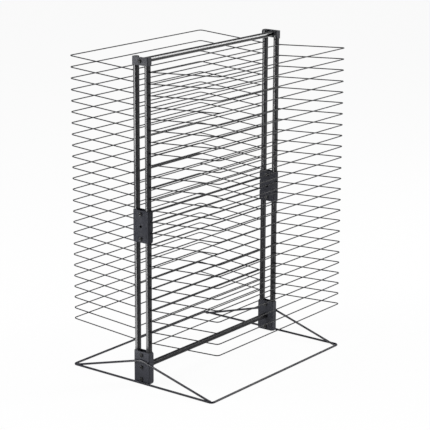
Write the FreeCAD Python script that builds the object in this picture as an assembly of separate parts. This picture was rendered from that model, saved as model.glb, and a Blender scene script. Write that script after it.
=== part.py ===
import FreeCAD, Part
import math
import os
from FreeCAD import Vector

# Double-sided wire drying rack: 25 levels of wire shelves on each side of a two-post frame.
# Millimetres, +Z up, origin on the floor under the middle of the rack.
# X runs across the rack, from the left-hand shelves (-X) to the right-hand shelves (+X).
# Y runs along the rack, from its near end (-Y) to its far end (+Y).
# The near end is modelled, and the far end is its mirror image.

# Facets: round wires, rods and bends have flat facets, because there are so many of them
WIRE_SIDES = 8             # sides of a shelf wire's section
WIRE_MITRES = 2            # mitres that turn a shelf wire through a right angle
ROD_SIDES = 12             # sides of the thicker rods' section, and of screws and their holes
ROD_MITRES = 4             # mitres that turn a rod, or a rounded sheet corner, through a right angle
POST_MITRES = 2            # mitres at a corner of a post's section

# Shelves: each is a bent wire welded to a near and a far post, with a stop wire across it
LEVEL_COUNT = 25           # shelf levels on each side
LOWER_LEVEL_COUNT = 11     # levels that the lower posts carry
SHELF_PITCH = 26.0         # height from one level to the next
LOWEST_SHELF = 100.5       # height of the lowest wire where it meets its post
SHELF_WIRE = 2.5           # thickness of the wire
SHELF_REACH = 214.0        # middle of the rack to the middle of the outer wire
SHELF_RISE = 3.5           # degrees that a shelf climbs towards its outer wire
SHELF_CORNER = 8.0         # bend radius at the outer corners, on the middle of the wire
SHELF_WIRE_INSET = 6.0     # inner face of the post to the middle of the wire
STOP_WIRE_OFFSET = 7.0     # outer face of the post to the middle of the stop wire

# Posts: rectangular tube, a pair at each end, in a lower and an upper length
POST_WIDTH = 9.5           # across the rack
POST_DEPTH = 12.7          # along the rack
POST_WALL = 1.0
POST_CORNER = 2.0          # outside corner radius
POST_SPREAD = 42.0         # outer face to outer face of a pair
POST_HEADROOM = 32.0       # highest level to the top of the posts
CAP_HEIGHT = 1.5           # plastic cap above the post
CAP_PROUD = 0.5            # top of the cap above the top bracket
CAP_CROWN = 0.5            # chamfer round the cap's top
CAP_PLUG = 8.0             # plug inside the post
CAP_FIT = 0.1              # play of the plug, each side

# Brackets: sheet-metal channels round the posts, with a flat backing plate behind them
SHEET = 1.5
SHEET_BEND = 1.0           # inside bend radius
BRACKET_HEIGHT = 75.0
BRACKET_LIFT = 2.5         # underside of the base bracket above the floor
BRACKET_FIT = 0.1          # play of the posts and the backing plate, each side
FLANGE_CORNER = 5.0
SLOT_CLEARANCE = 0.2       # play of a shelf wire in its slot, each side
TOP_BRACKET_HEIGHT = 19.0
BACKING_THICKNESS = 2.0
BACKING_CORNER = 3.0

# Base: a closed wire ring on the floor, and a peaked wire brace welded across each base bracket
RING_WIRE = 5.0
RING_WIDTH = 412.0         # across the rack, between the middles of the wires
RING_DEPTH = 502.0         # along the rack, between the middles of the wires
RING_CORNER = 8.0
BRACE_WIRE = 5.0
BRACE_PEAK = 57.5          # height where the straight legs would meet
BRACE_PEAK_BEND = 40.0
BRACE_FOOT = 4.0           # length that lies along the ring
BRACE_FOOT_BEND = 15.0
BRACE_TURN_GAP = 1.5       # side of the bracket to the turn that sends the leg towards the ring
BRACE_TURN_BEND = 60.0

# Ties between the two ends
TOP_TUBE = 12.7
TOP_TUBE_WALL = 1.2
RAIL = 12.7
RAIL_WALL = 1.2
INSERT_LENGTH = 16.0       # threaded plug in each end of the tube and the rail
INSERT_FIT = 0.05          # play of the plug, each side

# Screws and nuts
SCREW = 5.0
SCREW_HEAD = 9.5
SCREW_HEAD_HEIGHT = 3.5
SCREW_HEAD_RIM = 1.0       # height of the head's upright rim
SCREW_HEAD_CROWN = 6.0     # width of the head's flat top
SCREW_HOLE = 5.5
SPLICE_HOLE = 6.6          # middle hole of a splice bracket, which takes no screw of the rack's own
SCREW_OFFSET = 29.0        # middle hole of a bracket to the hole above or below it
SCREW_GRIP = 12.0          # length of a screw inside a threaded plug
SCREW_TIP = 1.0            # length of a clamp screw beyond its nut
THREAD_FIT = 0.05          # gap round a shank in its thread
NUT_ACROSS = 8.0
NUT_HEIGHT = 4.0

# Distances from the middle of the rack, along Y
bracket_y = RING_DEPTH / 2 - RING_WIRE / 2
post_outer_y = bracket_y - SHEET
post_inner_y = post_outer_y - POST_DEPTH
backing_y = post_inner_y - BACKING_THICKNESS
shelf_y = post_inner_y + SHELF_WIRE_INSET

# Distances from the middle of the rack, along X
post_x = POST_SPREAD / 2
flange_x = post_x + BRACKET_FIT
bracket_x = flange_x + SHEET

# Heights
levels = [LOWEST_SHELF + SHELF_PITCH * index for index in range(LEVEL_COUNT)]
post_bottom = BRACKET_LIFT
post_top = levels[-1] + POST_HEADROOM
joint_height = (levels[LOWER_LEVEL_COUNT - 1] + levels[LOWER_LEVEL_COUNT]) / 2
base_height = BRACKET_LIFT + BRACKET_HEIGHT / 2
top_height = post_top + CAP_HEIGHT - CAP_PROUD - TOP_BRACKET_HEIGHT / 2

X = Vector(1, 0, 0)
Y = Vector(0, 1, 0)
Z = Vector(0, 0, 1)
MIDDLE = Vector(0, 0, 0)


# ---- drawing helpers ----

def rounded(points, radii, mitres, closed=False):
    """The points, with each corner that has a radius turned in flats round a circle."""
    count = len(points)
    path = []
    for index, point in enumerate(points):
        radius = radii[index]
        if not radius or (not closed and index in (0, count - 1)):
            path.append(point)
            continue
        back = (points[index - 1] - point).normalize()
        ahead = (points[(index + 1) % count] - point).normalize()
        half = back.getAngle(ahead) / 2
        turn = math.pi - 2 * half
        steps = max(1, round(mitres * turn / (math.pi / 2)))
        step = turn / steps
        outward = (back + ahead).normalize() * -1
        onward = (ahead - back).normalize()
        centre = point - outward * (radius / math.sin(half))
        for number in range(steps):
            angle = step * (number + 0.5) - turn / 2
            direction = outward * math.cos(angle) + onward * math.sin(angle)
            path.append(centre + direction * (radius / math.cos(step / 2)))
    return path


def round_section(diameter, sides, centre, across, up):
    """Many-sided outline of a round section, with flat sides towards across and up."""
    step = 2 * math.pi / sides
    radius = diameter / 2 / math.cos(step / 2)
    turns = [step * (index + 0.5) for index in range(sides + 1)]
    return Part.makePolygon(
        [centre + across * (radius * math.cos(t)) + up * (radius * math.sin(t)) for t in turns])


def bent_rod(points, section):
    """Section carried along the points, with a mitre at each."""
    return Part.makePolygon(points).makePipeShell([section], True, False, 1)


def rod_along_y(diameter, length, x, y, z):
    """Many-sided straight rod along +Y from a point."""
    return Part.Face(round_section(diameter, ROD_SIDES, Vector(x, y, z), X, Z)).extrude(Y * length)


def plate(points, radii, thickness):
    """Flat outline with rounded corners, thickened along a vector."""
    outline = rounded(points, radii, ROD_MITRES, closed=True)
    return Part.Face(Part.makePolygon(outline + outline[:1])).extrude(thickness)


def tube(diameter, wall, half_length):
    """Round tube along Y, centred on the middle of the rack."""
    start = Y * -half_length
    outer = Part.makeCylinder(diameter / 2, 2 * half_length, start, Y)
    return outer.cut(Part.makeCylinder(diameter / 2 - wall, 2 * half_length, start, Y))


def far(shape):
    """Far-end twin of a near-end shape."""
    return shape.mirror(MIDDLE, Y)


def right(shape):
    """Right-hand twin of a left-hand shape."""
    return shape.mirror(MIDDLE, X)


# ---- shelves ----

def shelf_pair(height):
    """Right-hand and left-hand shelf of one level, each a bent wire and a stop wire."""
    reach = (SHELF_REACH - post_x) / math.cos(math.radians(SHELF_RISE))
    overrun = SHELF_WIRE
    corners = [Vector(-overrun, -shelf_y, 0), Vector(reach, -shelf_y, 0),
               Vector(reach, shelf_y, 0), Vector(-overrun, shelf_y, 0)]
    path = rounded(corners, [0, SHELF_CORNER, SHELF_CORNER, 0], WIRE_MITRES)
    bent_wire = bent_rod(path, round_section(SHELF_WIRE, WIRE_SIDES, path[0], Y, Z))
    stop_start = Vector(STOP_WIRE_OFFSET, -shelf_y + SHELF_WIRE / 2, 0)
    stop_section = Part.Face(round_section(SHELF_WIRE, WIRE_SIDES, stop_start, X, Z))
    stop_wire = stop_section.extrude(Y * (2 * shelf_y - SHELF_WIRE))
    pair = []
    for wire in (bent_wire, stop_wire):
        wire.rotate(MIDDLE, Y, -SHELF_RISE)
        wire.translate(Vector(post_x, 0, height))
        pair.append(wire)
    post_side = Part.makeBox(2 * overrun, 3 * shelf_y, 4 * SHELF_WIRE,
                             Vector(post_x - 2 * overrun, -1.5 * shelf_y, height - 2 * SHELF_WIRE))
    pair[0] = pair[0].cut(post_side)
    return Part.makeCompound(pair + [right(wire) for wire in pair])


# ---- posts ----

def post_solid(bottom, top, inset, corner):
    """Solid in the place of the right-hand near post, drawn in by an inset."""
    x0, x1 = post_x - POST_WIDTH + inset, post_x - inset
    y0, y1 = -post_outer_y + inset, -post_inner_y - inset
    points = [Vector(x0, y0, bottom), Vector(x1, y0, bottom), Vector(x1, y1, bottom), Vector(x0, y1, bottom)]
    outline = rounded(points, [corner] * 4, POST_MITRES, closed=True)
    return Part.Face(Part.makePolygon(outline + outline[:1])).extrude(Z * (top - bottom))


def post(bottom, top):
    """Right-hand near post between two heights."""
    return post_solid(bottom, top, 0, POST_CORNER).cut(post_solid(bottom, top, POST_WALL, 0))


def post_cap():
    """Cap on the right-hand near post, with its plug inside the tube."""
    head = post_solid(post_top, post_top + CAP_HEIGHT, 0, POST_CORNER)
    rim = [edge for edge in head.Edges if edge.BoundBox.ZMin > post_top + CAP_HEIGHT / 2]
    plug = post_solid(post_top - CAP_PLUG, post_top, POST_WALL + CAP_FIT, 0)
    return head.makeChamfer(CAP_CROWN, rim).fuse(plug).removeSplitter()


# ---- brackets ----

def bracket_holes(centre, middle_hole, start_y):
    """The three holes of a bracket or its backing plate, through near-end sheet metal."""
    length = max(SHEET, BACKING_THICKNESS)
    outer = [rod_along_y(SCREW_HOLE, length, 0, start_y, centre + SCREW_OFFSET * step) for step in (-1, 1)]
    return outer + [Part.makeCylinder(middle_hole / 2, length, Vector(0, start_y, centre), Y)]


def channel(centre, height, depth):
    """Near-end channel round both posts, open towards the rack, with rounded flange corners."""
    bottom = centre - height / 2
    y0, y1, y2 = -bracket_y, -post_outer_y, -bracket_y + depth
    outline = [Vector(-bracket_x, y0, bottom), Vector(bracket_x, y0, bottom),
               Vector(bracket_x, y2, bottom), Vector(flange_x, y2, bottom),
               Vector(flange_x, y1, bottom), Vector(-flange_x, y1, bottom),
               Vector(-flange_x, y2, bottom), Vector(-bracket_x, y2, bottom)]
    outer_bend = SHEET_BEND + SHEET
    bends = [outer_bend, outer_bend, 0, 0, SHEET_BEND, SHEET_BEND, 0, 0]
    folded = plate(outline, bends, Z * height)
    side = [Vector(-bracket_x, y0, bottom), Vector(-bracket_x, y2, bottom),
            Vector(-bracket_x, y2, bottom + height), Vector(-bracket_x, y0, bottom + height)]
    return folded.common(plate(side, [0, FLANGE_CORNER, FLANGE_CORNER, 0], X * (2 * bracket_x)))


def shelf_slot(height, depth):
    """Slot through both flanges, open at their inner edge, that a shelf wire passes."""
    width = SHELF_WIRE + 2 * SLOT_CLEARANCE
    start = Vector(-bracket_x - SHEET, -shelf_y, height)
    length = 2 * (bracket_x + SHEET)
    end = Part.Face(round_section(width, WIRE_SIDES, start, Y, Z)).extrude(X * length)
    mouth = Part.makeBox(length, depth, width, start - Z * (width / 2))
    return end.fuse(mouth)


def post_bracket(centre, middle_hole):
    """Bracket for a base or a joint: three holes, and slots for the wires that it crosses."""
    depth = bracket_y - backing_y
    bracket = channel(centre, BRACKET_HEIGHT, depth)
    cuts = bracket_holes(centre, middle_hole, -bracket_y)
    crossed = [level for level in levels if abs(level - centre) < (BRACKET_HEIGHT + SHELF_WIRE) / 2]
    cuts += [shelf_slot(level, depth) for level in crossed]
    return bracket.cut(cuts)


def backing_plate(centre, middle_hole):
    """Plate behind the posts, between the bracket's flanges."""
    x, z = flange_x - BRACKET_FIT, BRACKET_HEIGHT / 2
    outline = [Vector(-x, -post_inner_y, centre - z), Vector(x, -post_inner_y, centre - z),
               Vector(x, -post_inner_y, centre + z), Vector(-x, -post_inner_y, centre + z)]
    backing = plate(outline, [BACKING_CORNER] * 4, Y * BACKING_THICKNESS)
    return backing.cut(bracket_holes(centre, middle_hole, -post_inner_y))


def top_bracket():
    """Short bracket that ties the post tops to the top tube."""
    bracket = channel(top_height, TOP_BRACKET_HEIGHT, bracket_y - post_inner_y)
    return bracket.cut(rod_along_y(SCREW_HOLE, SHEET, 0, -bracket_y, top_height))


# ---- base ----

def base_ring():
    """Closed floor ring, bent as two halves that meet in the middle of the end wires."""
    x, y, z = RING_WIDTH / 2, RING_DEPTH / 2, RING_WIRE / 2
    points = [Vector(0, -y, z), Vector(x, -y, z), Vector(x, y, z), Vector(0, y, z)]
    path = rounded(points, [0, RING_CORNER, RING_CORNER, 0], ROD_MITRES)
    half = bent_rod(path, round_section(RING_WIRE, ROD_SIDES, path[0], Y, Z))
    return half.fuse(right(half)).removeSplitter()


def brace():
    """Near brace: up from the floor beside the ring, over the front of the base bracket."""
    front_y = -bracket_y - BRACE_WIRE / 2
    foot_y = -RING_DEPTH / 2 + (RING_WIRE + BRACE_WIRE) / 2
    foot_end = RING_WIDTH / 2 - RING_CORNER
    foot_x = foot_end - BRACE_FOOT
    foot_z = BRACE_WIRE / 2
    turn_x = bracket_x + BRACE_TURN_GAP
    turn_z = BRACE_PEAK - (BRACE_PEAK - foot_z) * turn_x / foot_x
    leg = [Vector(foot_end, foot_y, foot_z), Vector(foot_x, foot_y, foot_z),
           Vector(turn_x, front_y, turn_z)]
    other_leg = [Vector(-point.x, point.y, point.z) for point in reversed(leg)]
    bends = [0, BRACE_FOOT_BEND, BRACE_TURN_BEND]
    points = leg + [Vector(0, front_y, BRACE_PEAK)] + other_leg
    path = rounded(points, bends + [BRACE_PEAK_BEND] + bends[::-1], ROD_MITRES)
    return bent_rod(path, round_section(BRACE_WIRE, ROD_SIDES, path[0], Y, Z))


# ---- ties, screws and nuts ----

def insert(end_y, height, bore):
    """Threaded plug inside the near end of a tube."""
    body = Part.makeCylinder(bore / 2 - INSERT_FIT, INSERT_LENGTH, Vector(0, -end_y, height), Y)
    return body.cut(rod_along_y(SCREW + 2 * THREAD_FIT, INSERT_LENGTH, 0, -end_y, height))


def screw(height, tip_y):
    """Pan-head screw through a near bracket, from its outer face to the tip."""
    shank = rod_along_y(SCREW, bracket_y - tip_y, 0, -bracket_y, height)
    rim = rod_along_y(SCREW_HEAD, SCREW_HEAD_RIM, 0, -bracket_y - SCREW_HEAD_RIM, height)
    crown_base = Vector(0, -bracket_y - SCREW_HEAD_RIM, height)
    crown_top = Vector(0, -bracket_y - SCREW_HEAD_HEIGHT, height)
    crown = Part.makeLoft([round_section(SCREW_HEAD, ROD_SIDES, crown_base, X, Z),
                           round_section(SCREW_HEAD_CROWN, ROD_SIDES, crown_top, X, Z)], True, True)
    return shank.fuse([rim, crown]).removeSplitter()


def nut(height):
    """Hexagon nut against a near backing plate."""
    outline = round_section(NUT_ACROSS, 6, Vector(0, -backing_y, height), X, Z)
    thread = rod_along_y(SCREW + 2 * THREAD_FIT, NUT_HEIGHT, 0, -backing_y, height)
    return Part.Face(outline).extrude(Y * NUT_HEIGHT).cut(thread)


def both_ends(shapes):
    """One node of near-end solids and their far-end twins."""
    return Part.makeCompound(shapes + [far(shape) for shape in shapes])


# ---- assembly ----

parts = {}
for number, level in enumerate(levels, start=1):
    parts[f"shelf_pair_{number:02d}"] = shelf_pair(level)

post_lengths = {"lower": (post_bottom, joint_height), "upper": (joint_height, post_top)}
for tier, (bottom, top) in post_lengths.items():
    near_right = post(bottom, top)
    near_left = right(near_right)
    parts[f"post_{tier}_right_near"] = near_right
    parts[f"post_{tier}_left_near"] = near_left
    parts[f"post_{tier}_right_far"] = far(near_right)
    parts[f"post_{tier}_left_far"] = far(near_left)
cap = post_cap()
parts["post_caps"] = both_ends([cap, right(cap)])

near_pieces = {
    "base_bracket": post_bracket(base_height, SCREW_HOLE),
    "base_backing_plate": backing_plate(base_height, SCREW_HOLE),
    "splice_bracket": post_bracket(joint_height, SPLICE_HOLE),
    "splice_backing_plate": backing_plate(joint_height, SPLICE_HOLE),
    "top_bracket": top_bracket(),
    "brace": brace(),
}
for name, shape in near_pieces.items():
    parts[f"{name}_near"] = shape
    parts[f"{name}_far"] = far(shape)

parts["base_ring"] = base_ring()
parts["top_tube"] = tube(TOP_TUBE, TOP_TUBE_WALL, post_outer_y)
parts["top_tube"].translate(Z * top_height)
parts["bottom_rail"] = tube(RAIL, RAIL_WALL, backing_y)
parts["bottom_rail"].translate(Z * base_height)
parts["top_tube_inserts"] = both_ends([insert(post_outer_y, top_height, TOP_TUBE - 2 * TOP_TUBE_WALL)])
parts["rail_inserts"] = both_ends([insert(backing_y, base_height, RAIL - 2 * RAIL_WALL)])

clamp_heights = [centre + SCREW_OFFSET * step for centre in (base_height, joint_height) for step in (-1, 1)]
clamp_tip_y = backing_y - NUT_HEIGHT - SCREW_TIP
parts["clamp_screws"] = both_ends([screw(height, clamp_tip_y) for height in clamp_heights])
parts["clamp_nuts"] = both_ends([nut(height) for height in clamp_heights])
parts["rail_screws"] = both_ends([screw(base_height, backing_y - SCREW_GRIP)])
parts["top_tube_screws"] = both_ends([screw(top_height, post_outer_y - SCREW_GRIP)])

os.makedirs("parts", exist_ok=True)
for name, shape in parts.items():
    shape.exportStep(f"parts/{name}.step")
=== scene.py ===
import math
import random

import bmesh
import bpy
from mathutils import Matrix, Quaternion, Vector, noise


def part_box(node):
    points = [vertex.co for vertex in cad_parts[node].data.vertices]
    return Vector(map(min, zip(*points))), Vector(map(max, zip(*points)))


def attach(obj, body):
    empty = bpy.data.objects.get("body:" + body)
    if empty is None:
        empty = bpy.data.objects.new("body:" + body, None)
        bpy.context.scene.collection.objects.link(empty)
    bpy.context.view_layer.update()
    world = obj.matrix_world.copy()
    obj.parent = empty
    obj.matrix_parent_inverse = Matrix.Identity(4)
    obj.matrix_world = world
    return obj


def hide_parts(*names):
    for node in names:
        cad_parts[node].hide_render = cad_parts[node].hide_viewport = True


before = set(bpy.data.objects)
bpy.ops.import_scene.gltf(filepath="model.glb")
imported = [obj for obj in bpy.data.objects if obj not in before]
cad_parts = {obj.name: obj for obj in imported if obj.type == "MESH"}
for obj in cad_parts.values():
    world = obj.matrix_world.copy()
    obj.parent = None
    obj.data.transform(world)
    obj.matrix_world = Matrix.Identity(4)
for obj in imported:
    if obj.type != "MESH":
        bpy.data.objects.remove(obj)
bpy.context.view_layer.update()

# Looks of a double-sided wire drying rack, in metres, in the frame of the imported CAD.
# X runs across the rack, Y along it from the near end (-Y), and +Z is up.
# Smooth pieces of the same size replace every CAD node but the threaded plugs in the tube and the rail.

MM = 0.001
X = Vector((1, 0, 0))
Y = Vector((0, 1, 0))
Z = Vector((0, 0, 1))
UPRIGHT = Matrix.Identity(3)
# A piece is worked out on the right or at the near end, and these factors of X and Y mirror it
SIDES = {"right": 1, "left": -1}
ENDS = {"near": 1, "far": -1}

# Sizes of the shelves that the boxes of the nodes don't give
SHELF_WIRE = 2.5 * MM
SHELF_REACH = 214.0 * MM
SHELF_RISE = math.radians(3.5)
SHELF_TILT = math.radians(0.12)  # the most that use has bent a shelf up or down
SHELF_CORNER = 8.0 * MM
SHELF_WIRE_INSET = 6.0 * MM
SHELF_WIRE_ROOT = 0.3 * MM
STOP_WIRE_OFFSET = 7.0 * MM
STOP_WIRE_SHORT = 0.75 * MM

# Posts and caps
POST_WALL = 1.0 * MM
POST_CORNER = 2.0 * MM
POST_BORE_CORNER = 0.4 * MM
POST_EDGE = 0.15 * MM
CAP_CROWN = [(0.0, 0.0), (0.0, 0.22), (0.08, 0.27), (0.0, 0.32), (0.30, 0.50),
             (0.80, 0.68), (1.6, 0.84), (2.6, 0.95), (3.6, 1.0)]  # inset in mm, share of the height
CAP_CORNER_LOSS = 0.3  # share of the inset that the corners lose
CAP_PLUG = 8.0 * MM
CAP_PLUG_CORNER = 0.3 * MM
CAP_PLUG_ROOT = 0.3 * MM
CAP_FIT = 0.1 * MM

# Brackets and backing plates
SHEET = 1.5 * MM
SHEET_BEND = 1.0 * MM
FLANGE_CORNER = 5.0 * MM
SLOT_CLEARANCE = 0.2 * MM
BRACKET_EDGE = 0.42 * MM
BACKING_CORNER = 3.0 * MM
BACKING_EDGE = 0.25 * MM
SCREW_HOLE = 5.5 * MM
SPLICE_HOLE = 6.6 * MM
SCREW_OFFSET = 29.0 * MM
CUT_MARGIN = 5.0 * MM
DRILL_LENGTH = 12.0 * MM

# Base, top tube and bottom rail
RING_CORNER = 8.0 * MM
BRACE_WIRE = 5.0 * MM
BRACE_PEAK = 57.5 * MM
BRACE_PEAK_BEND = 40.0 * MM
BRACE_FOOT = 4.0 * MM
BRACE_FOOT_BEND = 15.0 * MM
BRACE_FOOT_SHORT = 0.6 * MM
BRACE_TURN_GAP = 1.5 * MM
BRACE_TURN_BEND = 60.0 * MM
TUBE_WALL = 1.2 * MM
TUBE_EDGE = 0.15 * MM

# Screws and nuts. Their outlines are shares of a height and of a radius.
SCREW = 5.0 * MM
SCREW_HEAD = 9.5 * MM
SCREW_HEAD_HEIGHT = 3.5 * MM
SCREW_DOME = [(0.0, 0.94), (0.10, 1.0), (0.34, 1.0), (0.50, 0.97), (0.66, 0.90),
              (0.80, 0.79), (0.91, 0.64), (0.98, 0.44), (1.0, 0.2)]
SCREW_GRIP = 12.0 * MM
SCREW_TIP = 1.0 * MM
SCREW_POINT = 0.6 * MM
SCREW_POINT_DEPTH = 0.7 * MM
THREAD_PITCH = 0.8 * MM
THREAD_DEPTH = 0.25 * MM
RECESS_START = 0.4 * MM  # above the top of the head
RECESS_DEPTH = 2.4 * MM
RECESS_MOUTH = (2.7 * MM, 0.75 * MM)  # half length and half width of a slot of the cross
RECESS_FLOOR = (1.1 * MM, 0.4 * MM)
NUT_ACROSS = 8.0 * MM
NUT_HEIGHT = 4.0 * MM
NUT_FIT = 0.05 * MM
NUT_CHAMFER = [(0.0, 0.955), (0.06, 1.0), (0.94, 1.0), (1.0, 0.93)]

# Welds: the half sizes of each kind of bead, its place, and the seed of its unevenness
STOP_WELD = (1.9 * MM, 1.6 * MM, 1.6 * MM)
ROOT_WELD = (1.3 * MM, 2.2 * MM, 2.1 * MM)
ROOT_WELD_OUT = 0.2 * MM
ROOT_WELD_MARGIN = 3.0 * MM  # a bracket hides the welds this far past its ends
RING_WELD = (5.5 * MM, 0.9 * MM, 1.0 * MM)
RING_WELD_X = 16.0 * MM
RING_WELD_OUT = 0.2 * MM
RING_WELD_HEIGHT = 0.86  # share of the ring's wire
FOOT_WELD = (6.5 * MM, 1.5 * MM, 1.1 * MM)
FOOT_WELD_INSET = 7.0 * MM
FOOT_WELD_HEIGHT = 0.72  # share of the ring's wire
BRACE_WELD = (3.6 * MM, 1.0 * MM, 1.0 * MM)
BRACE_WELD_INSET = 4.5 * MM
BRACE_WELD_OUT = 0.5 * MM
BRACE_WELD_OFFSET = 0.42  # share of the brace's wire
BEAD_SIDES, BEAD_ROWS = 14, 9
BEAD_SWELL = 0.14
BEAD_LUMPS = 1.7
SEEDS_PER_SHELF, ROOT_SEED = 7, 5
RING_SEED, FOOT_SEED, BRACE_SEED = 40, 60, 80

# Flat sides of round things, and the turn from one point of an arc to the next
SHELF_WIRE_SIDES = 14
BRACE_WIRE_SIDES = 20
RING_WIRE_SIDES = 24
TUBE_SIDES = 48
SCREW_SIDES = 32
NUT_SIDES = 48
ARC_STEP = math.radians(9)
POST_ARC_STEP = math.radians(15)
RING_ARC_STEP = math.radians(6)
BRACE_ARC_STEP = math.radians(4)
SLOT_ARC_STEP = 15  # degrees
WIRE_END_ROUNDING = 0.3  # share of the wire's radius


def middle_height(node):
    """Height of the middle of a node."""
    low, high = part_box(node)
    return (low.z + high.z) / 2


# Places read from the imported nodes
post_low, post_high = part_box("post_lower_right_near")
post_x, post_inner_x = post_high.x, post_low.x
post_outer_y, post_inner_y = -post_low.y, -post_high.y
splice_low, splice_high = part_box("splice_bracket_near")
bracket_x, bracket_y = splice_high.x, -splice_low.y
backing_y = -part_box("splice_backing_plate_near")[1].y
base_height = middle_height("base_bracket_near")
joint_height = post_high.z
top_height = middle_height("top_tube")
base_holes = [base_height + SCREW_OFFSET * step for step in (-1, 0, 1)]
splice_holes = [joint_height + SCREW_OFFSET * step for step in (-1, 0, 1)]
ring_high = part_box("base_ring")[1]
ring_wire = ring_high.z
ring_x, ring_y = ring_high.x - ring_wire / 2, ring_high.y - ring_wire / 2
shelf_y = post_inner_y + SHELF_WIRE_INSET
shelf_nodes = sorted(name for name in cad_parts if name.startswith("shelf_pair_"))
levels = [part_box(name)[0].z + SHELF_WIRE / 2 / math.cos(SHELF_RISE) for name in shelf_nodes]


# ---- mesh helpers ----

def fillet(points, radii, closed=False, step=ARC_STEP):
    """The points, with each corner that has a radius rounded by a true arc."""
    count = len(points)
    path = []
    for index, point in enumerate(points):
        radius = radii[index]
        if not radius or (not closed and index in (0, count - 1)):
            path.append(point.copy())
            continue
        back = (points[index - 1] - point).normalized()
        ahead = (points[(index + 1) % count] - point).normalized()
        half = back.angle(ahead) / 2
        turn = math.pi - 2 * half
        steps = max(2, round(turn / step))
        outward = -(back + ahead).normalized()
        onward = (ahead - back).normalized()
        centre = point - outward * (radius / math.sin(half))
        for number in range(steps + 1):
            angle = turn * (number / steps - 0.5)
            path.append(centre + (outward * math.cos(angle) + onward * math.sin(angle)) * radius)
    return path


def rectangle(a0, b0, a1, b1):
    """Corners of a rectangle, in order."""
    return [(a0, b0), (a1, b0), (a1, b1), (a0, b1)]


def directions(side, other, count):
    """Unit vectors all round, evenly spaced, from side towards other."""
    angles = [2 * math.pi * number / count for number in range(count)]
    return [side * math.cos(angle) + other * math.sin(angle) for angle in angles]


def loft(bm, rings, closed_path=False):
    """Quads between rings of points, with an n-gon over each open end."""
    rows = [[bm.verts.new(point) for point in ring] for ring in rings]
    for row, following in zip(rows, rows[1:] + rows[:1] if closed_path else rows[1:]):
        for index in range(len(row)):
            after = (index + 1) % len(row)
            bm.faces.new((row[index], row[after], following[after], following[index]))
    if not closed_path:
        bm.faces.new(rows[0][::-1])
        bm.faces.new(rows[-1])


def prism(bm, outline, along):
    """Closed outline thickened along a vector."""
    loft(bm, [outline, [point + along for point in outline]])


def turned(bm, profile, origin, axis, segments, hollow=False):
    """(distance along the axis, radius) pairs turned round an axis, as a bar or a hollow section."""
    side = axis.orthogonal().normalized()
    around = directions(side, axis.cross(side), segments)
    rings = [[origin + axis * along + direction * radius for direction in around]
             for along, radius in profile]
    loft(bm, rings, closed_path=hollow)


def end_rings(point, outwards, around, radius):
    """Smaller and smaller rings that round off a wire's end."""
    edge = radius * WIRE_END_ROUNDING
    return [[point + outwards * (edge * math.sin(a)) + direction * (radius - edge * (1 - math.cos(a)))
             for direction in around] for a in (math.radians(30), math.radians(60), math.radians(90))]


def sweep(bm, path, radius, up, sides, closed=False, rounded_ends=False):
    """Round wire along a path. up is any direction that starts across the wire."""
    count = len(path)
    stations = []
    across = up
    for index, point in enumerate(path):
        before = path[index - 1] if closed or index else point
        after = path[(index + 1) % count] if closed or index < count - 1 else point
        along = (after - before).normalized()
        across = (across - along * along.dot(across)).normalized()
        stations.append((point, along, directions(across, along.cross(across), sides)))
    rings = [[point + direction * radius for direction in around] for point, along, around in stations]
    if rounded_ends:
        point, along, around = stations[0]
        rings = end_rings(point, -along, around, radius)[::-1] + rings + end_rings(*stations[-1], radius)
    loft(bm, rings, closed_path=closed)


def bead(bm, centre, size, seed, turn=UPRIGHT):
    """Small uneven lump of weld metal."""
    made = bmesh.ops.create_uvsphere(bm, u_segments=BEAD_SIDES, v_segments=BEAD_ROWS, radius=1.0)["verts"]
    shift = Vector((seed * 3.7, seed * 1.3, seed))
    for vertex in made:
        swell = 1 + BEAD_SWELL * noise.noise(vertex.co * BEAD_LUMPS + shift)
        vertex.co = centre + turn @ Vector(c * s * swell for c, s in zip(vertex.co, size))


def as_object(name, bm):
    """The finished mesh as an object in the scene."""
    bmesh.ops.recalc_face_normals(bm, faces=bm.faces)
    mesh = bpy.data.meshes.new(name)
    bm.to_mesh(mesh)
    bm.free()
    piece = bpy.data.objects.new(name, mesh)
    bpy.context.scene.collection.objects.link(piece)
    return piece


def apply_modifiers(piece):
    """The piece's mesh, as its modifiers leave it."""
    graph = bpy.context.evaluated_depsgraph_get()
    mesh = bpy.data.meshes.new_from_object(piece.evaluated_get(graph))
    piece.modifiers.clear()
    piece.data = mesh


def cut(piece, cutter, operation="DIFFERENCE"):
    """Boolean of the piece with a cutter, which is then removed."""
    modifier = piece.modifiers.new("cut", "BOOLEAN")
    modifier.operation = operation
    modifier.solver = "EXACT"
    modifier.object = cutter
    apply_modifiers(piece)
    bpy.data.objects.remove(cutter)


def ease_edges(piece, width):
    """Rounds every sharp edge a little, as blanking, bending and coating leave it."""
    modifier = piece.modifiers.new("ease", "BEVEL")
    modifier.width = width
    modifier.segments = 2
    modifier.limit_method = "ANGLE"
    modifier.angle_limit = math.radians(40)
    modifier.use_clamp_overlap = True
    modifier.miter_outer = "MITER_ARC"
    apply_modifiers(piece)


def dress(piece, material, node, sharp=40, flats=False):
    """Smooth shading, material and body, and hides the CAD node that the piece stands for."""
    piece.data.polygons.foreach_set("use_smooth", [True] * len(piece.data.polygons))
    piece.data.set_sharp_from_angle(angle=math.radians(sharp))
    if flats:
        modifier = piece.modifiers.new("even flats", "WEIGHTED_NORMAL")
        modifier.weight = 100
        modifier.keep_sharp = True
        apply_modifiers(piece)
    piece.data.materials.clear()
    piece.data.materials.append(material)
    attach(piece, "root")
    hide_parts(node)


# ---- materials ----

MIX_FIRST, MIX_SECOND, MIX_RESULT = 6, 7, 2  # colour sockets of a Mix node
CHARCOAL = ((0.020, 0.021, 0.026), (0.029, 0.030, 0.037))  # dark and light

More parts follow.
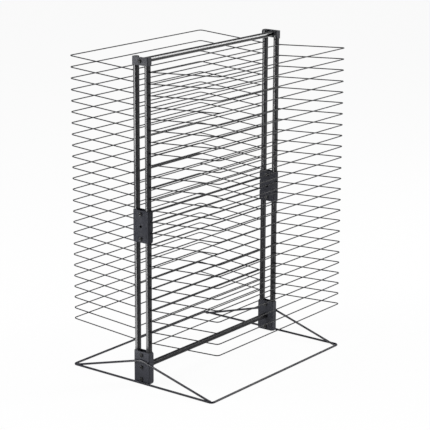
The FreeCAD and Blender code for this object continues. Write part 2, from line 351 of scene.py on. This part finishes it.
# Scales are in features per metre, and ranges are of a noise or of the pointiness of the surface
PEEL_SCALE = 260.0
CLOUD_SCALE = 24.0
GLOSS_SCALE = 90.0
NOISE_RANGE = (0.3, 0.7)
CLOUD_RANGE = (0.25, 0.75)
SPECK_RANGE = (0.56, 0.78)
SPECK_SHARE = 0.35
SPECK_TONE = 2.2
# Pointiness range and share of the lighter edges: partly rubbed wear, partly a painted highlight.
EDGE_WEAR_AND_HIGHLIGHT_RANGE = (0.53, 0.62)
EDGE_WEAR_AND_HIGHLIGHT_SHARE = 0.6


class Nodes:
    """Short calls for building one material's nodes."""

    def __init__(self, name):
        self.material = bpy.data.materials.new(name)
        self.material.use_nodes = True
        self.tree = self.material.node_tree
        self.shader = self.tree.nodes["Principled BSDF"]
        self.place = self.add("ShaderNodeTexCoord").outputs["Object"]

    def add(self, kind, **settings):
        node = self.tree.nodes.new(kind)
        for name, value in settings.items():
            setattr(node, name, value)
        return node

    def join(self, source, target):
        self.tree.links.new(source, target)

    def drive(self, name, source):
        """Links a value or a colour to one of the shader's inputs."""
        self.join(source, self.shader.inputs[name])

    def noise(self, scale, detail, stretch=None):
        """Noise over the object's own coordinates."""
        place = self.place
        if stretch:
            mapping = self.add("ShaderNodeMapping")
            mapping.inputs["Scale"].default_value = stretch
            self.join(place, mapping.inputs["Vector"])
            place = mapping.outputs["Vector"]
        node = self.add("ShaderNodeTexNoise")
        node.inputs["Scale"].default_value = scale
        node.inputs["Detail"].default_value = detail
        self.join(place, node.inputs["Vector"])
        return node.outputs["Fac"]

    def remap(self, value, source, target):
        """Maps the source range of a value on to the target range."""
        node = self.add("ShaderNodeMapRange")
        for name, number in zip(("From Min", "From Max", "To Min", "To Max"), (*source, *target)):
            node.inputs[name].default_value = number
        self.join(value, node.inputs["Value"])
        return node.outputs["Result"]

    def ramp(self, value, source, dark, light):
        """Colour from dark to light over the source range of a value."""
        node = self.add("ShaderNodeValToRGB")
        for element, position, colour in zip(node.color_ramp.elements, source, (dark, light)):
            element.position = position
            element.color = (*colour, 1)
        self.join(value, node.inputs["Fac"])
        return node.outputs["Color"]

    def tint(self, base, colour, share):
        """Mixes a plain colour into a base by a share that varies over the surface."""
        node = self.add("ShaderNodeMix", data_type="RGBA")
        self.join(share, node.inputs["Factor"])
        self.join(base, node.inputs[MIX_FIRST])
        node.inputs[MIX_SECOND].default_value = (*colour, 1)
        return node.outputs[MIX_RESULT]

    def bump(self, *heights):
        """Bumps stacked on each other, each (height, depth in metres)."""
        normal = None
        for height, depth in heights:
            node = self.add("ShaderNodeBump")
            node.inputs["Strength"].default_value = 1.0
            node.inputs["Distance"].default_value = depth
            self.join(height, node.inputs["Height"])
            if normal:
                self.join(normal, node.inputs["Normal"])
            normal = node.outputs["Normal"]
        self.drive("Normal", normal)


def powder_coat(name, dark, light, roughness, level, grain, grain_depth, peel_depth, vary=0.06, edge_wear_and_highlight=None):
    """Black powder coat: fine grain, slow orange peel, uneven gloss, and edges lightened by their
    pointiness, partly rubbed wear and partly a painted highlight.
    """
    make = Nodes(name)
    fine = make.noise(grain, detail=3.0)
    peel = make.noise(PEEL_SCALE, detail=1.0)
    cloud = make.noise(CLOUD_SCALE, detail=4.0)
    colour = make.ramp(make.remap(cloud, CLOUD_RANGE, (0.0, 1.0)), (0.0, 1.0), dark, light)
    speck = make.remap(fine, SPECK_RANGE, (0.0, SPECK_SHARE))
    colour = make.tint(colour, [part * SPECK_TONE for part in light], speck)
    # Lighter colour on sharp edges: partly rubbed wear, partly a painted highlight of edges catching the
    # light.
    if edge_wear_and_highlight:
        edge = make.add("ShaderNodeNewGeometry").outputs["Pointiness"]
        colour = make.tint(colour, edge_wear_and_highlight, make.remap(edge, EDGE_WEAR_AND_HIGHLIGHT_RANGE, (0.0, EDGE_WEAR_AND_HIGHLIGHT_SHARE)))
    make.drive("Base Color", colour)
    gloss = make.noise(GLOSS_SCALE, detail=3.0)
    make.drive("Roughness", make.remap(gloss, NOISE_RANGE, (roughness - vary, roughness + vary)))
    make.bump((peel, peel_depth), (fine, grain_depth))
    make.shader.inputs["Specular IOR Level"].default_value = level
    return make.material


def brushed_steel(name):
    """Turned steel with fine lines round the plug."""
    make = Nodes(name)
    lines = make.noise(900.0, detail=2.0, stretch=(0.2, 4.0, 0.2))
    make.drive("Base Color", make.ramp(lines, NOISE_RANGE, (0.42, 0.42, 0.43), (0.62, 0.62, 0.63)))
    make.drive("Roughness", make.remap(lines, NOISE_RANGE, (0.25, 0.42)))
    make.bump((lines, 0.02 * MM))
    make.shader.inputs["Metallic"].default_value = 1.0
    return make.material


def moulded_plastic(name):
    """Moulded black plastic with a fine spark-eroded grain."""
    make = Nodes(name)
    grain = make.noise(1800.0, detail=2.0)
    cloud = make.noise(60.0, detail=2.0)
    make.drive("Base Color", make.ramp(cloud, NOISE_RANGE, (0.024, 0.024, 0.026), (0.036, 0.036, 0.039)))
    make.drive("Roughness", make.remap(grain, NOISE_RANGE, (0.42, 0.58)))
    make.bump((grain, 0.03 * MM))
    make.shader.inputs["Specular IOR Level"].default_value = 0.4
    return make.material


def base_wire_coat(name, roughness, level):
    """Satin coat of the base's wires, a little bluer than the rest."""
    return powder_coat(name, (0.006, 0.006, 0.011), (0.010, 0.010, 0.018), roughness, level,
                       grain=1400.0, grain_depth=0.001 * MM, peel_depth=0.005 * MM, vary=0.03)


def bracket_coat(name, painted_light_tone, level):
    """Charcoal coat of the sheet metal, lighter at its edges: partly rubbed wear, partly a painted highlight
    where the edges catch the light. The tone scales the whole colour, as painted light or painted shade for
    where the bracket sits in the rack.
    """
    dark, light = [[part * painted_light_tone for part in colour] for colour in CHARCOAL]
    return powder_coat(name, dark, light, 0.42, level, grain=1100.0, grain_depth=0.005 * MM,
                       peel_depth=0.02 * MM, edge_wear_and_highlight=(0.10, 0.10, 0.107))


SHELF_COAT = powder_coat("shelf_wire_black", (0.006, 0.006, 0.007), (0.012, 0.012, 0.014), 0.30, level=0.10,
                         grain=1500.0, grain_depth=0.002 * MM, peel_depth=0.01 * MM, vary=0.03)
RING_COAT = base_wire_coat("ring_wire_black", 0.30, level=0.20)
BRACE_COAT = base_wire_coat("brace_wire_black", 0.20, level=0.45)
POST_COAT = powder_coat("post_black", (0.006, 0.006, 0.007), (0.010, 0.010, 0.012), 0.11, level=0.15,
                        grain=1500.0, grain_depth=0.0002 * MM, peel_depth=0.0006 * MM, vary=0.01,
                        edge_wear_and_highlight=(0.03, 0.03, 0.033))
# One bracket coat in three copies: the base copy is lighter, painted light, and the splice copy is darker
# and less glossy, painted shade; the top copy is the plain coat.
BRACKET_COATS_PAINTED_LIGHT = {"base": bracket_coat("bracket_charcoal_base", painted_light_tone=1.5, level=0.10),
                 "splice": bracket_coat("bracket_charcoal_splice", painted_light_tone=0.96, level=0.03),
                 "top": bracket_coat("bracket_charcoal_top", painted_light_tone=1.0, level=0.21)}
TUBE_COAT = powder_coat("tube_gloss_black", (0.005, 0.005, 0.006), (0.008, 0.008, 0.009), 0.20, level=0.54,
                        grain=1500.0, grain_depth=0.0002 * MM, peel_depth=0.0005 * MM, vary=0.01)
# The rail is the same tube and coat as the top tube. This matt, paler copy of that coat is painted shade: it
# stands for the rail lying in the shade under the shelves, which keeps a highlight off it.
RAIL_SHADED_COAT = powder_coat("rail_black_painted_shade", (0.010, 0.010, 0.012), (0.018, 0.018, 0.020), 0.50, level=0.14,
                        grain=1400.0, grain_depth=0.004 * MM, peel_depth=0.01 * MM)
# The fasteners' lighter edges are partly wear and partly painted glints.
FASTENER_COAT = powder_coat("fastener_black", (0.006, 0.006, 0.007), (0.012, 0.012, 0.013), 0.15, level=0.30,
                            grain=1800.0, grain_depth=0.002 * MM, peel_depth=0.006 * MM, vary=0.03,
                            edge_wear_and_highlight=(0.10, 0.10, 0.104))
STEEL = brushed_steel("insert_steel")
CAP_PLASTIC = moulded_plastic("cap_black_plastic")


# ---- shelves ----

def shelf(bm, side, height, tilt, covered, seed):
    """One shelf: bent outline wire, stop wire across it, and the welds that a bracket doesn't cover."""
    place = (Matrix.Translation((side * post_x, 0, height)) @ Matrix.Diagonal((side, 1, 1, 1))
             @ Matrix.Rotation(-(SHELF_RISE + tilt), 4, "Y"))
    up = place.to_3x3() @ Z
    radius = SHELF_WIRE / 2
    root, tip = -SHELF_WIRE_ROOT, (SHELF_REACH - post_x) / math.cos(SHELF_RISE)
    corners = [Vector((x, y, 0)) for x, y in rectangle(root, -shelf_y, tip, shelf_y)]
    outline = fillet(corners, [0, SHELF_CORNER, SHELF_CORNER, 0])
    stop_end = shelf_y - STOP_WIRE_SHORT
    stop = [Vector((STOP_WIRE_OFFSET, y, 0)) for y in (-stop_end, stop_end)]
    for path in (outline, stop):
        sweep(bm, [place @ point for point in path], radius, up, SHELF_WIRE_SIDES)
    for end in (-1, 1):
        bead(bm, place @ Vector((STOP_WIRE_OFFSET, end * (shelf_y - radius), 0)), STOP_WELD, seed + end)
        if not covered:
            bead(bm, place @ Vector((ROOT_WELD_OUT, end * shelf_y, 0)), ROOT_WELD, seed + ROOT_SEED + end)


random.seed(11)
for number, (node, level) in enumerate(zip(shelf_nodes, levels)):
    covered = splice_low.z - ROOT_WELD_MARGIN < level < splice_high.z + ROOT_WELD_MARGIN
    bm = bmesh.new()
    for side in SIDES.values():
        tilt = random.uniform(-SHELF_TILT, SHELF_TILT)
        shelf(bm, side, level, tilt, covered, SEEDS_PER_SHELF * number + side)
    dress(as_object(node.replace("pair", "wires"), bm), SHELF_COAT, node)


# ---- posts and their caps ----

def post_outline(inset, z, corner, side, end):
    """Section of a post at a height, moved in by inset."""
    x0, x1 = post_inner_x + inset, post_x - inset
    y0, y1 = -post_outer_y + inset, -post_inner_y - inset
    corners = [Vector((side * x, end * y, z)) for x, y in rectangle(x0, y0, x1, y1)]
    return fillet(corners, [corner] * 4, closed=True, step=POST_ARC_STEP)


def post(node):
    """Hollow rectangular tube with rounded corners and eased ends."""
    side, end = node.split("_")[2:]
    low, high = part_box(node)
    sections = [(0, low.z + POST_EDGE, POST_CORNER), (0, high.z - POST_EDGE, POST_CORNER),
                (POST_EDGE, high.z, POST_CORNER - POST_EDGE), (POST_WALL, high.z, POST_BORE_CORNER),
                (POST_WALL, low.z, POST_BORE_CORNER), (POST_EDGE, low.z, POST_CORNER - POST_EDGE)]
    bm = bmesh.new()
    loft(bm, [post_outline(*section, SIDES[side], ENDS[end]) for section in sections], closed_path=True)
    dress(as_object(node + "_tube", bm), POST_COAT, node)


def cap(bm, bottom, top, side, end):
    """Plastic cap: a crowned head with a parting line, and its plug inside the post."""
    head = [(inset * MM, bottom + (top - bottom) * share, POST_CORNER - inset * MM * CAP_CORNER_LOSS)
            for inset, share in CAP_CROWN]
    plug = [(POST_WALL + CAP_FIT, z, CAP_PLUG_CORNER) for z in (bottom - CAP_PLUG, bottom + CAP_PLUG_ROOT)]
    for sections in (head, plug):
        loft(bm, [post_outline(*section, side, end) for section in sections])


for node in sorted(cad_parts):
    if node.startswith(("post_lower", "post_upper")):
        post(node)
bm = bmesh.new()
for side in SIDES.values():
    for end in ENDS.values():
        cap(bm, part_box("post_upper_right_near")[1].z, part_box("post_caps")[1].z, side, end)
dress(as_object("post_cap_plugs", bm), CAP_PLASTIC, "post_caps", sharp=50)


# ---- brackets and backing plates ----

def channel(name, bottom, top, depth):
    """Folded near-end channel with rounded flange corners, before its holes."""
    flange_x = bracket_x - SHEET
    y0, y1, y2 = -bracket_y, -bracket_y + SHEET, -bracket_y + depth
    corners = [(-bracket_x, y2), (-bracket_x, y0), (bracket_x, y0), (bracket_x, y2),
               (flange_x, y2), (flange_x, y1), (-flange_x, y1), (-flange_x, y2)]
    outer_bend = SHEET_BEND + SHEET
    bends = [0, outer_bend, outer_bend, 0, 0, SHEET_BEND, SHEET_BEND, 0]
    outline = fillet([Vector((x, y, bottom)) for x, y in corners], bends, closed=True)
    bm = bmesh.new()
    prism(bm, outline, Z * (top - bottom))
    piece = as_object(name, bm)
    start = -bracket_x - CUT_MARGIN
    side = [Vector((start, y, z)) for y, z in rectangle(y0 - CUT_MARGIN, bottom, y2, top)]
    bm = bmesh.new()
    prism(bm, fillet(side, [0, FLANGE_CORNER, FLANGE_CORNER, 0], closed=True), X * (-2 * start))
    cut(piece, as_object("corners", bm), "INTERSECT")
    return piece


def drill(bm, heights, y):
    """Cutters for the holes through sheet metal at y. The middle one of a splice is wider."""
    for height in heights:
        radius = (SPLICE_HOLE if height == joint_height else SCREW_HOLE) / 2
        start = Vector((0, y - DRILL_LENGTH / 2, height))
        turned(bm, [(0, radius), (DRILL_LENGTH, radius)], start, Y, SCREW_SIDES)


def slot_cutter(bm, height, mouth_y):
    """Cutter for a slot that is open at the flange's inner edge and round at its end."""
    radius = SHELF_WIRE / 2 + SLOT_CLEARANCE
    x = -bracket_x - SHEET
    arc = [Vector((x, -shelf_y - radius * math.cos(a), height + radius * math.sin(a)))
           for a in (math.radians(angle) for angle in range(-90, 91, SLOT_ARC_STEP))]
    mouth = [Vector((x, mouth_y, height + radius)), Vector((x, mouth_y, height - radius))]
    prism(bm, arc + mouth, X * (-2 * x))


def finish_sheet(piece, node, edge):
    """Eases the edges of near-end sheet metal, mirrors it to its own end and coats it."""
    ease_edges(piece, edge)
    words = node.split("_")
    kind, end = words[0], words[-1]
    piece.data.transform(Matrix.Diagonal((1, ENDS[end], 1, 1)))
    if end == "far":
        piece.data.flip_normals()
    dress(piece, BRACKET_COATS_PAINTED_LIGHT[kind], node, sharp=50, flats=True)


def bracket(node, hole_heights, depth):
    """Finished bracket in the place of its node."""
    low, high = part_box(node)
    piece = channel(node + "_folded", low.z, high.z, depth)
    bm = bmesh.new()
    drill(bm, hole_heights, -bracket_y)
    for level in levels:
        if low.z - SHELF_WIRE / 2 < level < high.z + SHELF_WIRE / 2:
            slot_cutter(bm, level, -bracket_y + depth + CUT_MARGIN)
    cut(piece, as_object("holes", bm))
    finish_sheet(piece, node, BRACKET_EDGE)


def backing_plate(node, hole_heights):
    """Finished backing plate in the place of its node."""
    low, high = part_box(node)
    y, thickness = -post_inner_y, post_inner_y - backing_y
    corners = [Vector((x, y, z)) for x, z in rectangle(low.x, low.z, high.x, high.z)]
    bm = bmesh.new()
    prism(bm, fillet(corners, [BACKING_CORNER] * 4, closed=True), Y * thickness)
    piece = as_object(node + "_blank", bm)
    bm = bmesh.new()
    drill(bm, hole_heights, y)
    cut(piece, as_object("holes", bm))
    finish_sheet(piece, node, BACKING_EDGE)


for end in ENDS:
    bracket("base_bracket_" + end, base_holes, bracket_y - backing_y)
    bracket("splice_bracket_" + end, splice_holes, bracket_y - backing_y)
    bracket("top_bracket_" + end, [top_height], bracket_y - post_inner_y)
    backing_plate("base_backing_plate_" + end, base_holes)
    backing_plate("splice_backing_plate_" + end, splice_holes)


# ---- base ----

def base_ring(node):
    """Closed wire on the floor, with its welds to the base brackets."""
    corners = [Vector((x, y, ring_wire / 2)) for x, y in rectangle(-ring_x, -ring_y, ring_x, ring_y)]
    path = fillet(corners, [RING_CORNER] * 4, closed=True, step=RING_ARC_STEP)
    bm = bmesh.new()
    sweep(bm, path, ring_wire / 2, Z, RING_WIRE_SIDES, closed=True)
    weld_y, weld_z = bracket_y + RING_WELD_OUT, ring_wire * RING_WELD_HEIGHT
    for end in (-1, 1):
        for side in (-1, 1):
            at = Vector((side * RING_WELD_X, end * weld_y, weld_z))
            bead(bm, at, RING_WELD, RING_SEED + side + 3 * end)
    dress(as_object(node + "_wire", bm), RING_COAT, node)


def brace(node):
    """Peaked wire over the base bracket, with its welds to the bracket and to the ring."""
    end = -ENDS[node.split("_")[-1]]
    front_y = bracket_y + BRACE_WIRE / 2
    foot_y = ring_y - (ring_wire + BRACE_WIRE) / 2
    foot_end = ring_x - RING_CORNER
    foot_x = foot_end - BRACE_FOOT
    foot_z = BRACE_WIRE / 2
    turn_x = bracket_x + BRACE_TURN_GAP
    turn_z = BRACE_PEAK - (BRACE_PEAK - foot_z) * turn_x / foot_x
    leg = [(foot_end - BRACE_FOOT_SHORT, foot_y, foot_z), (foot_x, foot_y, foot_z),
           (turn_x, front_y, turn_z)]
    points = leg + [(0, front_y, BRACE_PEAK)] + [(-x, y, z) for x, y, z in reversed(leg)]
    points = [Vector((x, end * y, z)) for x, y, z in points]
    bends = [0, BRACE_FOOT_BEND, BRACE_TURN_BEND]
    path = fillet(points, bends + [BRACE_PEAK_BEND] + bends[::-1], step=BRACE_ARC_STEP)
    bm = bmesh.new()
    sweep(bm, path, BRACE_WIRE / 2, Z, BRACE_WIRE_SIDES, rounded_ends=True)
    slope = math.atan2(BRACE_PEAK - foot_z, foot_x)
    weld_x = bracket_x - BRACE_WELD_INSET
    weld_z = BRACE_PEAK - weld_x * math.tan(slope)
    groove_y = end * (ring_y - ring_wire / 2)
    groove = Vector((foot_end - FOOT_WELD_INSET, groove_y, ring_wire * FOOT_WELD_HEIGHT))
    for side in (-1, 1):
        mirror = Matrix.Diagonal((side, 1, 1))
        bead(bm, mirror @ groove, FOOT_WELD, FOOT_SEED + side + 3 * end)
        for above in (-1, 1):
            z = weld_z + above * BRACE_WIRE * BRACE_WELD_OFFSET
            lump = Vector((side * weld_x, end * (bracket_y + BRACE_WELD_OUT), z))
            turn = Matrix.Rotation(side * slope, 3, "Y")
            bead(bm, lump, BRACE_WELD, BRACE_SEED + side + 3 * end + above, turn)
    dress(as_object(node + "_wire", bm), BRACE_COAT, node)


base_ring("base_ring")
for end in ENDS:
    brace("brace_" + end)


# ---- top tube and bottom rail ----

def tie(node, height, coat):
    """Round tube with eased ends, in the place of its node."""
    low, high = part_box(node)
    length = high.y - low.y
    outer = (high.x - low.x) / 2
    inner = outer - TUBE_WALL
    start = [(TUBE_EDGE, inner), (0, inner + TUBE_EDGE), (0, outer - TUBE_EDGE), (TUBE_EDGE, outer)]
    profile = start + [(length - along, radius) for along, radius in reversed(start)]
    bm = bmesh.new()
    turned(bm, profile, Vector((0, low.y, height)), Y, TUBE_SIDES, hollow=True)
    dress(as_object(node + "_coated", bm), coat, node)


tie("top_tube", top_height, TUBE_COAT)
tie("bottom_rail", base_height, RAIL_SHADED_COAT)
for node in ("top_tube_inserts", "rail_inserts"):
    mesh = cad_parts[node].data
    mesh.materials.clear()
    mesh.materials.append(STEEL)


# ---- screws and nuts ----

def recess_slot(origin, out, angle):
    """Cutter for one slot of a cross recess, narrower at its floor."""
    along = Vector((math.cos(angle), 0, math.sin(angle)))
    across = out.cross(along)
    start = SCREW_HEAD_HEIGHT + RECESS_START
    rings = []
    for height, (reach, width) in ((start, RECESS_MOUTH), (start - RECESS_DEPTH, RECESS_FLOOR)):
        centre = origin + out * height
        rings.append([centre + along * a + across * b for a, b in rectangle(-reach, -width, reach, width)])
    bm = bmesh.new()
    loft(bm, rings)
    return as_object("recess", bm)


def screw(height, end, tip_y, turn):
    """Mesh of a pan-head screw with a cross recess and a threaded shank."""
    origin = Vector((0, end * -bracket_y, height))
    out = Y * -end
    length = bracket_y - tip_y
    crest, root = SCREW / 2, SCREW / 2 - THREAD_DEPTH
    thread = []
    at = THREAD_PITCH
    while at < length - SCREW_POINT:
        thread += [(-at, root), (-at + THREAD_PITCH / 2, crest)]
        at += THREAD_PITCH
    point = [(-length, SCREW / 2 - SCREW_POINT_DEPTH), (-length + SCREW_POINT, root)]
    head = [(share * SCREW_HEAD_HEIGHT, SCREW_HEAD / 2 * width) for share, width in SCREW_DOME]
    bm = bmesh.new()
    turned(bm, point + sorted(thread) + [(0, crest)] + head, origin, out, SCREW_SIDES)
    piece = as_object("screw", bm)
    for angle in (turn, turn + math.pi / 2):
        cut(piece, recess_slot(origin, out, angle))
    mesh = piece.data
    bpy.data.objects.remove(piece)
    return mesh


def screw_set(node, heights, tip_y):
    """All the screws of one node in one piece."""
    bm = bmesh.new()
    for end in ENDS.values():
        for height in heights:
            bm.from_mesh(screw(height, end, tip_y, random.uniform(0, math.pi / 2)))
    dress(as_object(node + "_cross_head", bm), FASTENER_COAT, node, sharp=35)


def nut(bm, height, end):
    """Hexagon nut with chamfered corners, round its bore."""
    sector = math.pi / 3
    corner = NUT_ACROSS / 2 / math.cos(sector / 2)
    bore = [SCREW / 2 + NUT_FIT] * NUT_SIDES
    angles = [2 * math.pi * number / NUT_SIDES for number in range(NUT_SIDES)]
    hexagon = [NUT_ACROSS / 2 / math.cos((angle + sector / 2) % sector - sector / 2) for angle in angles]
    outside = [(share, [min(radius, corner * width) for radius in hexagon]) for share, width in NUT_CHAMFER]
    rings = []
    for share, radii in [(0.0, bore)] + outside + [(1.0, bore)]:
        y = backing_y * -end + end * share * NUT_HEIGHT
        rings.append([Vector((radius * math.cos(angle), y, height + radius * math.sin(angle)))
                      for radius, angle in zip(radii, angles)])
    loft(bm, rings, closed_path=True)


clamp_heights = [base_holes[0], base_holes[2], splice_holes[0], splice_holes[2]]
screw_set("clamp_screws", clamp_heights, backing_y - NUT_HEIGHT - SCREW_TIP)
screw_set("rail_screws", [base_height], backing_y - SCREW_GRIP)
screw_set("top_tube_screws", [top_height], post_outer_y - SCREW_GRIP)
bm = bmesh.new()
for end in ENDS.values():
    for height in clamp_heights:
        nut(bm, height, end)
dress(as_object("clamp_hex_nuts", bm), FASTENER_COAT, "clamp_nuts", sharp=25)


# ---- floor and world ----

FLOOR_RADIUS, FLOOR_SIDES = 30.0, 96
FLOOR_GREY = 0.82
FLOOR_SEEN = 0.94  # share of plain white in the floor, for the rays that see it
WORLD_LIGHT = 0.6
SKY = [(0.03, 0.97), (0.34, 0.26)]  # height of the direction, and the grey there


def math_node(tree, operation, first, second):
    """Result of a Math node. second is a socket or a number."""
    node = tree.nodes.new("ShaderNodeMath")
    node.operation = operation
    tree.links.new(first, node.inputs[0])
    if isinstance(second, float):
        node.inputs[1].default_value = second
    else:
        tree.links.new(second, node.inputs[1])
    return node.outputs[0]


def seen_share(tree, share):
    """share for camera, glossy and transmission rays, and 0 for the rest."""
    path = tree.nodes.new("ShaderNodeLightPath").outputs
    seen = math_node(tree, "MAXIMUM", path["Is Camera Ray"], path["Is Glossy Ray"])
    seen = math_node(tree, "MAXIMUM", seen, path["Is Transmission Ray"])
    return math_node(tree, "MULTIPLY", seen, share)


def lay_floor():
    """Wide matt floor that takes shadows and looks white."""
    bpy.ops.mesh.primitive_circle_add(vertices=FLOOR_SIDES, radius=FLOOR_RADIUS, fill_type="NGON")
    floor = bpy.context.object
    floor.name = "floor"
    material = bpy.data.materials.new("floor_white")
    material.use_nodes = True
    tree = material.node_tree
    tree.nodes.remove(tree.nodes["Principled BSDF"])
    matt = tree.nodes.new("ShaderNodeBsdfDiffuse")
    matt.inputs["Color"].default_value = (FLOOR_GREY, FLOOR_GREY, FLOOR_GREY, 1)
    white = tree.nodes.new("ShaderNodeEmission")
    white.inputs["Color"].default_value = (1, 1, 1, 1)
    white.inputs["Strength"].default_value = 1.0
    mix = tree.nodes.new("ShaderNodeMixShader")
    for number, source in enumerate((seen_share(tree, FLOOR_SEEN), matt.outputs[0], white.outputs[0])):
        tree.links.new(source, mix.inputs[number])
    tree.links.new(mix.outputs[0], tree.nodes["Material Output"].inputs["Surface"])
    floor.data.materials.append(material)


def hang_sky():
    """World that is pale at the horizon and darker above, and brighter for the rays that see it."""
    world = bpy.data.worlds.new("studio")
    bpy.context.scene.world = world
    world.use_nodes = True
    tree = world.node_tree
    background = tree.nodes["Background"].inputs
    direction = tree.nodes.new("ShaderNodeTexCoord")
    split = tree.nodes.new("ShaderNodeSeparateXYZ")
    sky = tree.nodes.new("ShaderNodeValToRGB")
    for element, (position, grey) in zip(sky.color_ramp.elements, SKY):
        element.position = position
        element.color = (grey, grey, grey, 1)
    tree.links.new(direction.outputs["Generated"], split.inputs[0])
    tree.links.new(split.outputs["Z"], sky.inputs["Fac"])
    tree.links.new(sky.outputs["Color"], background["Color"])
    strength = math_node(tree, "ADD", seen_share(tree, 1 - WORLD_LIGHT), WORLD_LIGHT)
    tree.links.new(strength, background["Strength"])


lay_floor()
hang_sky()


# ---- lamps ----

def soft_lamp(name, place, aim, size, watts, turn=0.0):
    """Rectangular soft lamp pointing at a spot, turned about the line to it."""
    data = bpy.data.lights.new(name, "AREA")
    data.shape = "RECTANGLE"
    data.size, data.size_y = size
    data.energy = watts
    lamp = bpy.data.objects.new(name, data)
    bpy.context.scene.collection.objects.link(lamp)
    lamp.visible_camera = False
    lamp.location = place
    lamp.rotation_mode = "QUATERNION"
    facing = (Vector(aim) - Vector(place)).to_track_quat("-Z", "Y")
    lamp.rotation_quaternion = facing @ Quaternion(Z, turn)


# Strips on the floor lie where the fronts of the posts, as mirrors, would show the floor to the camera
MIRROR_START = Vector((-0.04, -0.30, 0.02))
MIRROR_PATH = Vector((-0.645, -0.764, 0))


def floor_strip(name, start, end, width, watts):
    """Soft lamp facing up along the mirror path, between two distances from its start."""
    middle = MIRROR_START + MIRROR_PATH * ((start + end) / 2)
    turn = math.atan2(-MIRROR_PATH.x, -MIRROR_PATH.y)
    soft_lamp(name, middle, middle + Z, (width, end - start), watts, turn)


floor_strip("strip_near", start=0.12, end=0.65, width=0.12, watts=2.8)
floor_strip("strip_middle", start=0.65, end=2.2, width=0.085, watts=12.5)
floor_strip("strip_far", start=2.2, end=4.9, width=0.50, watts=94)
soft_lamp("front_high", place=(-1.7, -2.1, 2.5), aim=(0, 0, 0.4), size=(2.2, 1.6), watts=100)
soft_lamp("back_right", place=(1.58, 2.2, 1.83), aim=(0, 0, 0.6), size=(1.1, 1.9), watts=84)
soft_lamp("top", place=(-0.2, -0.2, 3.2), aim=(0, 0, 0.4), size=(1.4, 1.4), watts=15)


# ---- camera ----

IMAGE_PIXELS = 430
FOCAL_PIXELS = 1714.3
CAMERA_PLACE = (2.3880, -3.0771, 1.3950)
YAW, PITCH, ROLL = -0.6562, 0.2625, 0.0047
NEAREST, FURTHEST = 0.1, 100.0

camera_data = bpy.data.cameras.new("camera")
camera_data.lens = camera_data.sensor_width * FOCAL_PIXELS / IMAGE_PIXELS
camera_data.clip_start, camera_data.clip_end = NEAREST, FURTHEST
camera = bpy.data.objects.new("camera", camera_data)
bpy.context.scene.collection.objects.link(camera)
camera.location = CAMERA_PLACE
camera.rotation_mode = "QUATERNION"
ahead = Vector((math.sin(YAW) * math.cos(PITCH), math.cos(YAW) * math.cos(PITCH), -math.sin(PITCH)))
camera.rotation_quaternion = ahead.to_track_quat("-Z", "Y") @ Quaternion(Z, ROLL)
bpy.context.scene.camera = camera
bpy.context.scene.view_settings.view_transform = "Standard"
